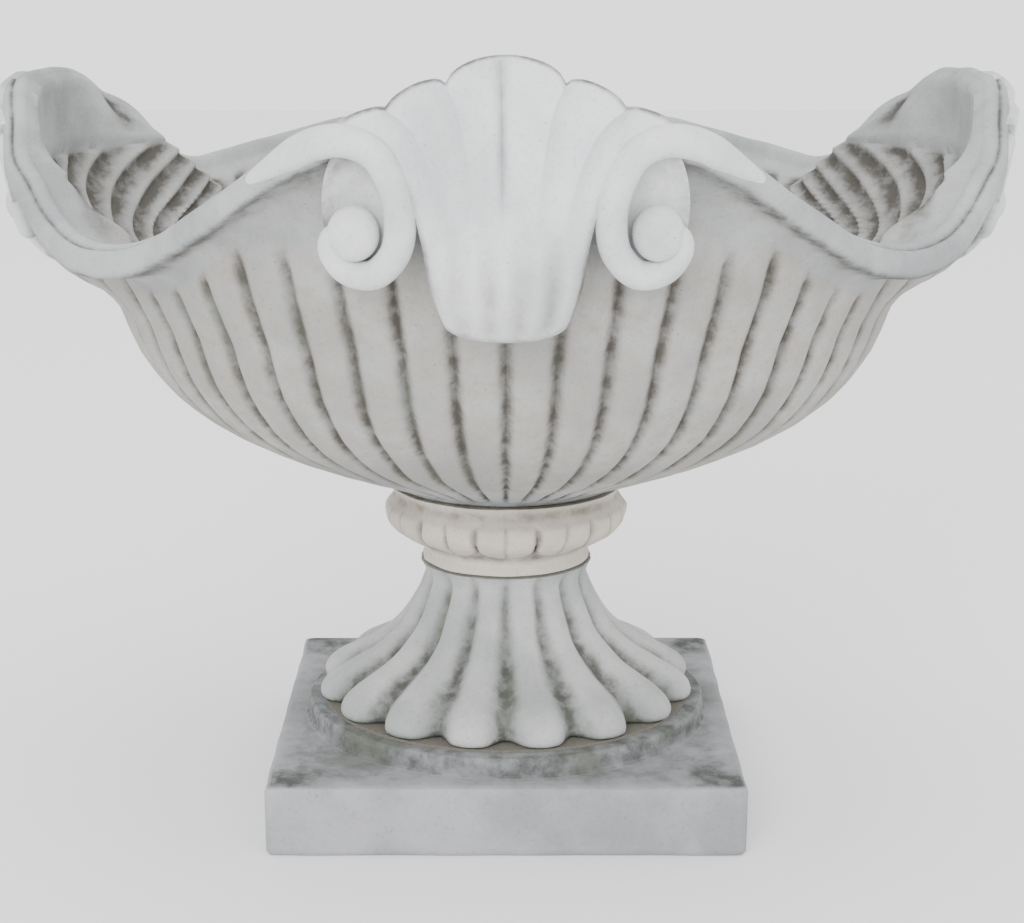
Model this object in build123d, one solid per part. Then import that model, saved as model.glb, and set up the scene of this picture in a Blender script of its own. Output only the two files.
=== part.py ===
"""Garden vase in cast stone: square plinth, fluted foot, leaf collar and a wide ribbed bowl.

The bowl has a waved, flared rim with two side shells, a palmette between scrolls at the
front and a lower one at the back.  All sizes are millimetres, Z is up, the floor is Z = 0
and the front palmette looks towards -Y.
"""
import os

from build123d import *

# Overall stack, from the floor upwards
PLINTH_SIDE = 330.0
PLINTH_HEIGHT = 50.0
PLINTH_EDGE_ROUND = 4.0
DISC_RADIUS = 147.0
DISC_HEIGHT = 14.0
MORTAR_THICKNESS = 2.0
FOOT_BASE_RADIUS = 140.0
FOOT_TOP_RADIUS = 63.0
STEM_RADIUS = 60.0
COLLAR_BOTTOM_Z = 169.0
COLLAR_RADIUS = 88.0
BOWL_SEAT_Z = 226.0
BOWL_SEAT_RADIUS = 84.0

# Bowl body and flared lip
RIB_COUNT = 36
RIB_GROOVE_WIDTH = 5.0
RIB_GROOVE_DEPTH = 5.0
RIB_BOTTOM_Z = 240.0
RIB_TOP_Z = 362.0
BELLY_RADIUS = 274.0
LIP_RADIUS = 347.0
WALL = 25.0
FLOOR_THICKNESS = 38.0
TIP_Z = 552.0

# Waved rim, heights of the top edge
RIM_LOW_Z = 430.0
RIM_LOW_X = 252.0
RIM_CUT_HALF_WIDTH = 420.0
SCROLL_TOP_Z = 514.0
BACK_TOP_Z = 465.0
BAND_HEIGHT = 21.0
BAND_PROUD = 8.0

# Palmette and scrolls
TONGUE_TIP_Z = 384.0
BACK_SCALE = 0.62
FLUTE_SIZE = 6.0
SCROLL_CENTRE = (78.5, 467.5)
SCROLL_HALF_WIDTH = 25.5
SCROLL_HALF_HEIGHT = 47.5
SCROLL_END = (92.0, 452.0)

# Foot flutes and collar leaves
FOOT_FLUTES = 16
COLLAR_LEAVES = 16

# Tie and drain tube with its nuts, washers and seal
TUBE_RADIUS = 11.0
TUBE_BORE_RADIUS = 7.5
TUBE_HOLE_CLEARANCE = 1.0
TUBE_END_CHAMFER = 1.0
NUT_FLATS = 32.0
NUT_HEIGHT = 8.0
WASHER_RADIUS = 24.0
WASHER_THICKNESS = 3.0
SEAL_THICKNESS = 3.0
RECESS_RADIUS = 30.0
RECESS_DEPTH = 18.0
TUBE_END_MARGIN = 3.0
MORTAR_SET_BACK = 4.0

HOLE_RADIUS = TUBE_RADIUS + TUBE_HOLE_CLEARANCE
DISC_TOP_Z = PLINTH_HEIGHT + DISC_HEIGHT
FOOT_BOTTOM_Z = DISC_TOP_Z + MORTAR_THICKNESS
FOOT_TOP_Z = COLLAR_BOTTOM_Z - MORTAR_THICKNESS
COLLAR_TOP_Z = BOWL_SEAT_Z - MORTAR_THICKNESS
BOWL_FLOOR_Z = BOWL_SEAT_Z + FLOOR_THICKNESS
HALF_OVERLAP = 6.0
TUBE_TOP_Z = BOWL_FLOOR_Z + SEAL_THICKNESS + WASHER_THICKNESS + NUT_HEIGHT + TUBE_END_MARGIN


def turned(*edges, arc=360):
    """Solid turned about the Z axis from a closed outline of edges in the XZ plane."""
    return Rot(0, 0, 180) * revolve(make_face(Wire(edges)), Axis.Z, arc)


def smooth(points):
    """Smooth curve through (radius, height) points in the XZ plane."""
    return Spline(*[(r, 0, z) for r, z in points])


def straight(*points):
    """Straight edges through (radius, height) points in the XZ plane."""
    return Polyline(*[(r, 0, z) for r, z in points]).edges()


def tube(radius, z0, z1):
    """Plain upright cylinder between two heights."""
    return Pos(0, 0, z0) * Cylinder(radius, z1 - z0, align=(Align.CENTER, Align.CENTER, Align.MIN))


def round_about(solid, count, start=0.0):
    """Copies of a solid spaced evenly about the Z axis."""
    return [Rot(0, 0, start + 360.0 * i / count) * solid for i in range(count)]


def make_plinth():
    """Square slab with a round seat disc on top and a nut recess underneath."""
    slab = Pos(0, 0, PLINTH_HEIGHT / 2) * Box(PLINTH_SIDE, PLINTH_SIDE, PLINTH_HEIGHT)
    slab = fillet(slab.edges().filter_by(Axis.Z) + slab.edges().group_by(Axis.Z)[-1], PLINTH_EDGE_ROUND)
    disc = tube(DISC_RADIUS, PLINTH_HEIGHT - 1, DISC_TOP_Z)
    disc = fillet(disc.edges().group_by(Axis.Z)[-1], PLINTH_EDGE_ROUND)
    return slab + disc - tube(HOLE_RADIUS, -1, DISC_TOP_Z + 1) - tube(RECESS_RADIUS, -1, RECESS_DEPTH)


def make_foot():
    """Trumpet foot with hollow flutes between its ridges."""
    side = [
        (FOOT_BASE_RADIUS, FOOT_BOTTOM_Z + 10), (FOOT_BASE_RADIUS - 12, FOOT_BOTTOM_Z + 20),
        (FOOT_BASE_RADIUS - 38, FOOT_BOTTOM_Z + 34), (FOOT_BASE_RADIUS - 62, FOOT_BOTTOM_Z + 53),
        (STEM_RADIUS + 3, FOOT_TOP_Z - 24), (STEM_RADIUS, FOOT_TOP_Z - 10), (FOOT_TOP_RADIUS, FOOT_TOP_Z),
    ]
    body = turned(
        smooth(side),
        *straight(side[-1], (HOLE_RADIUS, FOOT_TOP_Z), (HOLE_RADIUS, FOOT_BOTTOM_Z),
                  (FOOT_BASE_RADIUS, FOOT_BOTTOM_Z), side[0]),
    )
    stations = [
        (FOOT_BASE_RADIUS + 8, FOOT_BOTTOM_Z + 26, 20.0), (FOOT_BASE_RADIUS - 26, FOOT_BOTTOM_Z + 44, 16.0),
        (FOOT_BASE_RADIUS - 54, FOOT_BOTTOM_Z + 66, 12.0), (STEM_RADIUS + 6, FOOT_TOP_Z - 8, 7.5),
    ]
    ways = [(-1, 0.45), (-1, 0.6), (-0.6, 1), (-0.1, 1)]
    rings = [
        Plane(origin=(r, 0, z), z_dir=(dx, 0, dz)) * Circle(size)
        for (r, z, size), (dx, dz) in zip(stations, ways)
    ]
    flute = loft(rings)
    return body - round_about(flute, FOOT_FLUTES)


def make_collar():
    """Swelling collar under the bowl, cut into upright leaves."""
    side = [
        (FOOT_TOP_RADIUS + 3, COLLAR_BOTTOM_Z + 5), (COLLAR_RADIUS - 8, COLLAR_BOTTOM_Z + 16),
        (COLLAR_RADIUS, COLLAR_BOTTOM_Z + 30), (COLLAR_RADIUS - 6, COLLAR_TOP_Z - 12),
        (BOWL_SEAT_RADIUS - 8, COLLAR_TOP_Z),
    ]
    body = turned(
        smooth(side),
        *straight(side[-1], (HOLE_RADIUS, COLLAR_TOP_Z), (HOLE_RADIUS, COLLAR_BOTTOM_Z),
                  (side[0][0], COLLAR_BOTTOM_Z), side[0]),
    )
    gap = Pos(COLLAR_RADIUS + 2, 0, COLLAR_BOTTOM_Z + 28) * Rot(0, 8, 0) * Cylinder(6.0, 34.0)
    return body - round_about(gap, COLLAR_LEAVES, 180.0 / COLLAR_LEAVES)


def lip_side(offset=0.0, lift=0.0):
    """Outer side of the flared lip as two round arcs, moved outwards and up."""
    points = [(BELLY_RADIUS + 18, 374), (LIP_RADIUS - 24, 399), (LIP_RADIUS - 5, 446), (LIP_RADIUS, 492),
              (LIP_RADIUS - 14, TIP_Z)]
    low, bulge, middle, upper, tip = [(r + offset, 0, z + (0 if z == TIP_Z else lift)) for r, z in points]
    return [ThreePointArc(low, bulge, middle), ThreePointArc(middle, upper, tip)]


def bowl_side():
    """Outer side of the ribbed bowl from its seat up to the lip, as two round arcs."""
    foot, spread, shoulder, swell, top = [
        (BOWL_SEAT_RADIUS, 0, BOWL_SEAT_Z + 2), (141, 0, 241), (203, 0, 272), (251, 0, 313),
        (BELLY_RADIUS, 0, 364)]
    return [ThreePointArc(foot, spread, shoulder), ThreePointArc(shoulder, swell, top)]


def joined(*pieces):
    """Edges of a run of curves whose gaps are bridged by straight lines."""
    run = []
    for piece in pieces:
        if run and (run[-1] @ 1 - piece @ 0).length > 0.001:
            run.append(Line(run[-1] @ 1, piece @ 0))
        run.append(piece)
    if (run[-1] @ 1 - run[0] @ 0).length > 0.001:
        run.append(Line(run[-1] @ 1, run[0] @ 0))
    return run


def backwards(curves):
    """The same run of arcs, from its end to its start."""
    return [ThreePointArc(c @ 1, c @ 0.5, c @ 0) for c in curves[::-1]]


def half_body():
    """Front half of the turned bowl and lip with its hollow, before the rim is waved."""
    inner = lip_side(-WALL, 6)
    hollow = ThreePointArc((95, 0, BOWL_FLOOR_Z + 2), (190, 0, 304), (240, 0, 368))
    floor = [Line((HOLE_RADIUS, 0, BOWL_SEAT_Z), (HOLE_RADIUS, 0, BOWL_FLOOR_Z)),
             Line((HOLE_RADIUS, 0, BOWL_FLOOR_Z), (WASHER_RADIUS + 6, 0, BOWL_FLOOR_Z))]
    return turned(*joined(*bowl_side(), *lip_side(), *backwards(inner), *backwards([hollow]),
                          *[Line(e @ 1, e @ 0) for e in floor[::-1]]), arc=180)


def rim_middle(front):
    """Waved edge of one half between its two lowest points, as (side distance, height)."""
    if front:
        return [(0, SCROLL_TOP_Z), (60, SCROLL_TOP_Z), (97, SCROLL_TOP_Z - 1), (136, 495), (161, 477),
                (199, 452), (224, 438)]
    return [(0, BACK_TOP_Z), (60, BACK_TOP_Z), (110, BACK_TOP_Z), (158, BACK_TOP_Z - 5), (190, 452),
            (215, 442), (236, 434)]


def rim_curve(front, lift=0.0):
    """Waved edge in a flat drawing of one half, as three smooth curves from left to right."""
    low = (RIM_LOW_X, RIM_LOW_Z)
    middle = rim_middle(front) + [low]
    side = [low, (272, 437), (291, 454), (305, 471), (318, 489), (330, 506), (342, 517), (356, 525),
            (372, 529)]
    level = ((1, 0), (1, 0))

    def curve(points):
        return Spline(*[(x, z + lift) for x, z in points], tangents=level)

    left = curve([(-x, z) for x, z in side[::-1]])
    return [left, curve([(-x, z) for x, z in middle[:0:-1]] + middle), curve(side)]


def strip_above(edge, top_z):
    """Flat face between a run of curves and a straight line above it."""
    start, end = edge[0] @ 0, edge[-1] @ 1
    far = RIM_CUT_HALF_WIDTH
    over = Polyline((end.X, end.Y), (far, end.Y), (far, top_z), (-far, top_z), (-far, start.Y),
                    (start.X, start.Y)).edges()
    return make_face(Wire([*edge, *over]))


def scaled(points, scale):
    """Drawing points scaled about the tip of the tongue."""
    return [(x * scale, TONGUE_TIP_Z + (z - TONGUE_TIP_Z) * scale) for x, z in points]


def palmette_face(scale):
    """Outline of the palmette: tongue, waist and a fan that ends in five lobes."""
    side = scaled([(0, 384), (22, 388), (37, 402), (43, 420), (48, 450), (56, 478), (74, 500), (97, 510)], scale)
    ends = scaled([(97, 510), (67, 521), (33, 534), (-33, 534), (-67, 521), (-97, 510)], scale)
    tops = scaled([(83, 519), (51, 535), (0, TIP_Z - 1), (-51, 535), (-83, 519)], scale)
    lobes = [ThreePointArc(a, t, b) for a, t, b in zip(ends, tops, ends[1:])]
    return make_face(Wire([Spline(*side), *lobes, Spline(*[(-x, z) for x, z in side[::-1]])]))


def scroll_face(scale, side):
    """Scroll beside the waist: an upright oval coil around a hollow, with a round inner end."""
    def at(x, z):
        (x, z), = scaled([(x, z)], scale)
        return Pos(side * x, z)

    coil = at(*SCROLL_CENTRE) * Ellipse(SCROLL_HALF_WIDTH * scale, SCROLL_HALF_HEIGHT * scale)
    hollow = at(SCROLL_CENTRE[0] + 2, SCROLL_CENTRE[1] + 5) * Ellipse(11 * scale, 27 * scale)
    return coil - hollow + at(*SCROLL_END) * Circle(10 * scale)


def raised(face):
    """Straight block in front of a flat drawing, which stands a little behind the middle."""
    return Pos(0, HALF_OVERLAP, 0) * extrude(Plane.XZ * face, 430 + HALF_OVERLAP)


def lip_slab(proud):
    """Half-round slab that follows the lip, from inside its wall to a face that stands proud."""
    return turned(*joined(*lip_side(proud), *backwards(lip_side(-WALL / 2))), arc=180)


def relief(front, scale):
    """Band, scrolls and palmette of one half as one raised relief on the lip."""
    band = strip_above(rim_curve(front, -BAND_HEIGHT), TIP_Z + 8)
    drawing = band + scroll_face(scale, 1) + scroll_face(scale, -1) + palmette_face(scale)
    return lip_slab(BAND_PROUD) & raised(drawing)


def rim_cutter(front, scale):
    """Everything above the waved edge of one half, except the palmette."""
    return raised(strip_above(rim_curve(front), TIP_Z + 90) - palmette_face(scale))


def flute_bars(scale):
    """Square bars, set on edge, that sink the flutes of a palmette into its face."""
    face = LIP_RADIUS + BAND_PROUD

    def on_face(x, z, radius):
        (x, z), = scaled([(x, z)], scale)
        return Vector(x, -((radius**2 - x**2) ** 0.5), z)

    lines = [(on_face(x * 0.22, 456, face), on_face(x * 1.1, z + 8, face))
             for x, z in ((67, 521), (33, 534), (-33, 534), (-67, 521))]
    lines += [(on_face(x * 0.5, 440, face - 4), on_face(x, 380, face - 27)) for x in (-24, -8, 8, 24)]
    bars = []
    for low, high in lines:
        along = high - low
        across = Vector(-low.Y, low.X, 0).cross(along).cross(along)
        plane = Plane(origin=low, x_dir=across, z_dir=along)
        bars.append(extrude(plane * Rot(0, 0, 45) * Rectangle(FLUTE_SIZE * scale, FLUTE_SIZE * scale), along.length))
    return bars


def bowl_grooves():
    """Narrow grooves that part the ribs on one half of the bowl."""
    depth = RIB_GROOVE_DEPTH
    line = [Pos(-depth, 0, depth / 2) * arc for arc in bowl_side()]
    far = Line((BELLY_RADIUS + 12, 0, RIB_TOP_Z), (BELLY_RADIUS + 12, 0, RIB_BOTTOM_Z - 30))
    groove = extrude(make_face(Wire(joined(*line, far))), RIB_GROOVE_WIDTH / 2, both=True)
    step = 360.0 / RIB_COUNT
    return [Rot(0, 0, -step * (i + 0.5)) * groove for i in range(RIB_COUNT // 2)]


def half_bowl(front, scale):
    """Front-facing half bowl: turned half, raised relief, waved rim, palmette flutes and grooves."""
    half = half_body() + relief(front, scale)
    return half - rim_cutter(front, scale) - flute_bars(scale) - bowl_grooves()


def make_bowl():
    """Whole bowl from a front half and a turned-about back half with a lower rim."""
    return half_bowl(True, 1.0) + Rot(0, 0, 180) * half_bowl(False, BACK_SCALE)


def make_tube():
    """Threaded tie tube, open right through so that it also drains the bowl."""
    z0, z1 = RECESS_DEPTH - WASHER_THICKNESS - NUT_HEIGHT - TUBE_END_MARGIN, TUBE_TOP_Z
    outer = tube(TUBE_RADIUS, z0, z1)
    outer = chamfer(outer.edges().filter_by(GeomType.CIRCLE), TUBE_END_CHAMFER)
    return outer - tube(TUBE_BORE_RADIUS, z0 - 1, z1 + 1)


def ring(outer, inner, z0, z1):
    """Flat ring between two heights."""
    return tube(outer, z0, z1) - tube(inner, z0 - 1, z1 + 1)


def make_nut(z0):
    """Hexagon nut standing on a height."""
    body = extrude(Pos(0, 0, z0) * RegularPolygon(NUT_FLATS / 2, 6, major_radius=False), NUT_HEIGHT)
    return body - tube(TUBE_RADIUS, z0 - 1, z0 + NUT_HEIGHT + 1)


def make_parts():
    """All pieces by name."""
    seal_top = BOWL_FLOOR_Z + SEAL_THICKNESS
    washer_top = seal_top + WASHER_THICKNESS
    low_washer = RECESS_DEPTH - WASHER_THICKNESS
    return {
        "plinth": make_plinth(),
        "mortar_bed_plinth": ring(FOOT_BASE_RADIUS - MORTAR_SET_BACK, HOLE_RADIUS, DISC_TOP_Z, FOOT_BOTTOM_Z),
        "foot": make_foot(),
        "mortar_bed_collar": ring(FOOT_TOP_RADIUS - MORTAR_SET_BACK, HOLE_RADIUS, FOOT_TOP_Z, COLLAR_BOTTOM_Z),
        "collar": make_collar(),
        "mortar_bed_bowl": ring(BOWL_SEAT_RADIUS - 3 * MORTAR_SET_BACK, HOLE_RADIUS, COLLAR_TOP_Z, BOWL_SEAT_Z),
        "bowl": make_bowl(),
        "drain_tie_tube": make_tube(),
        "top_seal": ring(WASHER_RADIUS, HOLE_RADIUS, BOWL_FLOOR_Z, seal_top),
        "top_washer": ring(WASHER_RADIUS, TUBE_RADIUS, seal_top, washer_top),
        "top_backnut": make_nut(washer_top),
        "bottom_washer": ring(WASHER_RADIUS, TUBE_RADIUS, low_washer, RECESS_DEPTH),
        "bottom_backnut": make_nut(low_washer - NUT_HEIGHT),
    }


def main():
    """Build every piece and write it as its own file."""
    os.makedirs("parts", exist_ok=True)
    for name, shape in make_parts().items():
        export_step(shape, f"parts/{name}.step")


if __name__ == "__main__":
    main()
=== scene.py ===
"""Visual model of a cast-stone chalice vase: square plinth, fluted foot, leaf collar, waved bowl.

Sizes are millimetres in the classes and metres in the meshes.  Azimuth 0 looks at the front
palmette (towards -Y) and azimuth 90 at the right-hand lobe (+X).
"""
from __future__ import annotations

import logging
import math
from dataclasses import dataclass, field
from enum import Enum

import bpy
import numpy as np
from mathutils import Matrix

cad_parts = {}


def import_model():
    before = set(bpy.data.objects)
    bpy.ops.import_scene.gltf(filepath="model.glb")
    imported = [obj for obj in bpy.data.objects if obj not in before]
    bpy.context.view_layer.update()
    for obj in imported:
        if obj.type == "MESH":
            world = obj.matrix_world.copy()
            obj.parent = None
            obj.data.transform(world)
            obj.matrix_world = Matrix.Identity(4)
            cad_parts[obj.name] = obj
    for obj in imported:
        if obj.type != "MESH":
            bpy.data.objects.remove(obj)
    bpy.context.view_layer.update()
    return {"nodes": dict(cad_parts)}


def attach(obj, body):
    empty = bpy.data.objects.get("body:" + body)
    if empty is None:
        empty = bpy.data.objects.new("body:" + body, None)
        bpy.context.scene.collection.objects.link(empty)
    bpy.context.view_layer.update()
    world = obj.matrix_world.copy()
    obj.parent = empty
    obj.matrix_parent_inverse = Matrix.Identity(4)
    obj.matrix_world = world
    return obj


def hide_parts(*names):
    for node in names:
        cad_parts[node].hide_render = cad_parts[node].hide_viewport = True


log = logging.getLogger("vase")
MM = 0.001
Array = np.ndarray
Curve = list[tuple[float, float]]
# Radius, height, dirt and warmth of a run of loops, each (rows, columns)
Strip = tuple[Array, Array, Array, Array]

NOISE, RAMP, MATH, MIX = "ShaderNodeTexNoise", "ShaderNodeMapRange", "ShaderNodeMath", "ShaderNodeMix"


class Slot(Enum):
    """Material slots of the record."""

    PLINTH = "plinth_stone"
    FOOT = "foot_stone"
    COLLAR = "collar_stone"
    BOWL = "bowl_stone"
    MORTAR = "mortar"
    STEEL = "tie_steel"
    RUBBER = "seal_rubber"


# Small numeric tools


def curve(*points: tuple[float, float]) -> Curve:
    """Dataclass field that starts as a list of these points."""
    return field(default_factory=lambda: list(points))


def smoothstep(low: float, high: float, value: Array) -> Array:
    """Cubic ramp from 0 at low to 1 at high.

    Args:
        low: Value where the ramp starts.
        high: Value where the ramp ends.
        value: Values to ramp.
    Returns:
        3t^2 - 2t^3 with t the clamped share of the way from low to high.
    """
    t = np.clip((value - low) / (high - low), 0.0, 1.0)
    return t * t * (3.0 - 2.0 * t)


def through(x: Array, points: Curve) -> Array:
    """Smooth curve through points, held level beyond its ends.

    Args:
        x: Places to read the curve at.
        points: Pairs of place and value, places rising.
    Returns:
        Cubic Hermite interpolation whose slopes are the mean slopes at the points.
    """
    px, py = np.asarray(points, float).T
    slope = np.gradient(py, px)
    slope[0] = slope[-1] = 0.0
    x = np.clip(x, px[0], px[-1])
    i = np.clip(np.searchsorted(px, x) - 1, 0, len(px) - 2)
    h = px[i + 1] - px[i]
    t = (x - px[i]) / h
    a = (1 + 2 * t) * (1 - t) ** 2
    b = t * (1 - t) ** 2
    c = t * t * (3 - 2 * t)
    d = t * t * (t - 1)
    return a * py[i] + b * h * slope[i] + c * py[i + 1] + d * h * slope[i + 1]


def chord(points: Array) -> Array:
    """Distance of each point from the first, along the straight lines between them."""
    return np.concatenate([[0.0], np.cumsum(np.linalg.norm(np.diff(points, axis=0), axis=1))])


def path_through(points: Curve, count: int) -> Array:
    """Evenly spaced samples along a smooth path.

    Args:
        points: Control points.
        count: Number of samples.
    Returns:
        Array (count, 2): each coordinate is a cubic Hermite curve of the chord length.
    """
    p = np.asarray(points, float)
    s = chord(p)
    slope = np.gradient(p, s, axis=0)
    u = np.linspace(0.0, s[-1], count)
    i = np.clip(np.searchsorted(s, u) - 1, 0, len(s) - 2)
    h = (s[i + 1] - s[i])[:, None]
    t = ((u - s[i]) / (s[i + 1] - s[i]))[:, None]
    return ((1 + 2 * t) * (1 - t) ** 2 * p[i] + t * (1 - t) ** 2 * h * slope[i]
            + t * t * (3 - 2 * t) * p[i + 1] + t * t * (t - 1) * h * slope[i + 1])


def waver(points: Array, size: float, seed: int) -> Array:
    """Gentle seeded unevenness of a hand-finished cast surface.

    Args:
        points: Positions (..., 3) in mm.
        size: Length of the waves in mm.
        seed: Choice of directions and phases.
    Returns:
        Values between about -1 and 1: the mean of eight sine waves in random directions.
    """
    rng = np.random.default_rng(seed)
    total = np.zeros(points.shape[:-1])
    for _ in range(8):
        way = rng.normal(size=3)
        way *= rng.uniform(0.7, 1.5) / np.linalg.norm(way) * 2 * math.pi / size
        total += np.sin(points @ way + rng.uniform(0, 2 * math.pi))
    return total / 4.0


def from_axis(azimuth: Array) -> Array:
    """Angle in degrees from the nearest of the four lobe axes, 0 to 45."""
    return np.abs((np.degrees(azimuth) + 45.0) % 90.0 - 45.0)


def zigzag(azimuth: Array, count: int) -> Array:
    """Straight-sided wave round the axis: 0 on each of count crowns and 1 in the grooves between."""
    return np.abs(2.0 * ((np.degrees(azimuth) * count / 360.0) % 1.0) - 1.0)


def around(radius: Array, azimuth: Array, height: Array) -> Array:
    """Positions from radius, azimuth in radians and height, arrays of one shape."""
    return np.stack([radius * np.sin(azimuth), -radius * np.cos(azimuth), height], -1)


def lathe(profile: Curve, azimuth: Array) -> Array:
    """Plain round loops, one for each (radius, height), at a row of azimuths (1, columns)."""
    p = np.asarray(profile, float)
    return around(p[:, :1] + 0 * azimuth, azimuth, p[:, 1:] + 0 * azimuth)


def ahead(x: Array, radius: Array, z: Array) -> Array:
    """Positions of a drawing in x and z, moved straight ahead, -Y, to a distance from the axis."""
    return np.stack([x, -np.sqrt(radius**2 - x**2), z], -1)


def stacked(*strips: Strip) -> Strip:
    """Several runs of loops as one."""
    return tuple(np.concatenate(group) for group in zip(*strips))


# Meshes


@dataclass
class Surface:
    """Grid or run of grids: positions in mm, faces, how dark each point is with dirt and painted shade, and
    how warm it is.
    """

    points: Array
    faces: Array
    dirt_and_shade: Array
    warm: Array

    @staticmethod
    def rings(points: Array, dirt_and_shade: Array, warm: Array, ends: bool = False) -> Surface:
        """Closed surface from a grid whose columns run round.

        Args:
            points: Grid (rows, columns, 3); every row is a closed loop.
            dirt_and_shade: Grid (rows, columns), 0 clean to 1 dark with dirt and painted shade.
            warm: Grid (rows, columns), 0 cool grey to 1 warm beige.
            ends: True closes the first and last loop flat across, False joins last to first.
        Returns:
            The closed surface with its faces outwards.
        """
        rows, cols = points.shape[:2]
        index = np.arange(rows * cols).reshape(rows, cols)
        nxt = np.roll(index, -1, axis=1)
        if ends:
            quads = np.stack([index[:-1], nxt[:-1], nxt[1:], index[1:]], -1).reshape(-1, 4)
            half = cols // 2
            caps = []
            for loop, flip in ((index[0], True), (index[-1], False)):
                there, back = loop[:half], loop[half:][::-1]
                cap = np.stack([there[:-1], there[1:], back[1:], back[:-1]], -1)
                caps.append(cap[:, ::-1] if flip else cap)
            quads = np.concatenate([quads, *caps])
        else:
            up = np.roll(index, -1, axis=0)
            quads = np.stack([index, nxt, np.roll(nxt, -1, axis=0), up], -1).reshape(-1, 4)
        made = Surface(points.reshape(-1, 3), quads, dirt_and_shade.reshape(-1), warm.reshape(-1))
        return made.outwards()

    def outwards(self) -> Surface:
        """The same closed surface with faces turned so that its volume is positive."""
        p = self.points[self.faces]
        volume = np.einsum("ij,ij->i", p[:, 0], np.cross(p[:, 1] - p[:, 0], p[:, 2] - p[:, 0])).sum()
        volume += np.einsum("ij,ij->i", p[:, 0], np.cross(p[:, 2] - p[:, 0], p[:, 3] - p[:, 0])).sum()
        if volume < 0:
            self.faces = self.faces[:, ::-1]
        return self

    def turned(self, azimuth: float) -> Surface:
        """Copy turned about the upright axis, from the front towards +X.

        Args:
            azimuth: Turn in degrees.
        Returns:
            The turned copy.
        """
        a = math.radians(azimuth)
        turn = np.array([[math.cos(a), math.sin(a), 0], [-math.sin(a), math.cos(a), 0], [0, 0, 1]])
        return Surface(self.points @ turn, self.faces.copy(), self.dirt_and_shade, self.warm)

    def mirrored(self) -> Surface:
        """Copy mirrored left to right, faces still outwards."""
        flipped = self.points * np.array([-1.0, 1.0, 1.0])
        return Surface(flipped, self.faces[:, ::-1].copy(), self.dirt_and_shade, self.warm)

    @staticmethod
    def joined(pieces: list[Surface]) -> Surface:
        """Several closed surfaces as one.

        Args:
            pieces: The surfaces.
        Returns:
            One surface of as many closed shells.
        """
        starts = np.cumsum([0] + [len(s.points) for s in pieces[:-1]])
        return Surface(
            np.concatenate([s.points for s in pieces]),
            np.concatenate([s.faces + n for s, n in zip(pieces, starts)]),
            np.concatenate([s.dirt_and_shade for s in pieces]),
            np.concatenate([s.warm for s in pieces]),
        )

    def to_object(self, name: str, material: bpy.types.Material, crease: float = 50.0) -> bpy.types.Object:
        """Blender object at the origin with this surface in metres.

        Args:
            name: Object name.
            material: Its only material.
            crease: Edges sharper than this many degrees are shaded sharp.
        Returns:
            The linked object.
        """
        mesh = bpy.data.meshes.new(name)
        mesh.vertices.add(len(self.points))
        mesh.vertices.foreach_set("co", (self.points * MM).astype(np.float32).ravel())
        mesh.loops.add(self.faces.size)
        mesh.loops.foreach_set("vertex_index", self.faces.astype(np.int32).ravel())
        mesh.polygons.add(len(self.faces))
        mesh.polygons.foreach_set("loop_start", np.arange(0, self.faces.size, 4, dtype=np.int32))
        mesh.update(calc_edges=True)
        mesh.validate()
        mesh.polygons.foreach_set("use_smooth", np.ones(len(mesh.polygons), bool))
        # Per-point attribute of real dirt and painted shade, 0 to 1
        for title, values in (("dirt_and_shade", self.dirt_and_shade), ("warm", self.warm)):
            layer = mesh.attributes.new(title, "FLOAT", "POINT")
            layer.data.foreach_set("value", np.clip(values, 0, 1).astype(np.float32))
        mesh.set_sharp_from_angle(angle=math.radians(crease))
        mesh.materials.append(material)
        made = bpy.data.objects.new(name, mesh)
        bpy.context.scene.collection.objects.link(made)
        return made


# Finishes


def linear(code: str) -> tuple[float, float, float, float]:
    """Linear RGBA of an sRGB hex colour such as "#c8c8c4"."""
    raw = [int(code[i:i + 2], 16) / 255.0 for i in (1, 3, 5)]
    return tuple(c / 12.92 if c <= 0.04045 else ((c + 0.055) / 1.055) ** 2.4 for c in raw) + (1.0,)


def node(tree: bpy.types.NodeTree, kind: str, settings: dict,
         out: int | str = 0) -> bpy.types.NodeSocket | None:
    """Adds one shader node.

    Args:
        tree: Node tree that takes it.
        kind: Node type name.
        settings: Attributes by name, and values or feeding sockets by the input's name or number.
        out: Name or number of the output that is wanted.
    Returns:
        That output, or None for a node without outputs.
    """
    made = tree.nodes.new(kind)
    for key, value in settings.items():
        if isinstance(value, bpy.types.NodeSocket):
            tree.links.new(value, made.inputs[key])
        elif isinstance(key, int) or key in made.inputs:
            made.inputs[key].default_value = value
        else:
            setattr(made, key, value)
    return made.outputs[out] if len(made.outputs) else None


def empty_material(name: str) -> bpy.types.Material:
    """Node material without nodes.

    Args:
        name: Name of the finish.
    Returns:
        The new material.
    """
    material = bpy.data.materials.new(name)
    material.use_nodes = True
    material.node_tree.nodes.clear()
    return material


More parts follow.
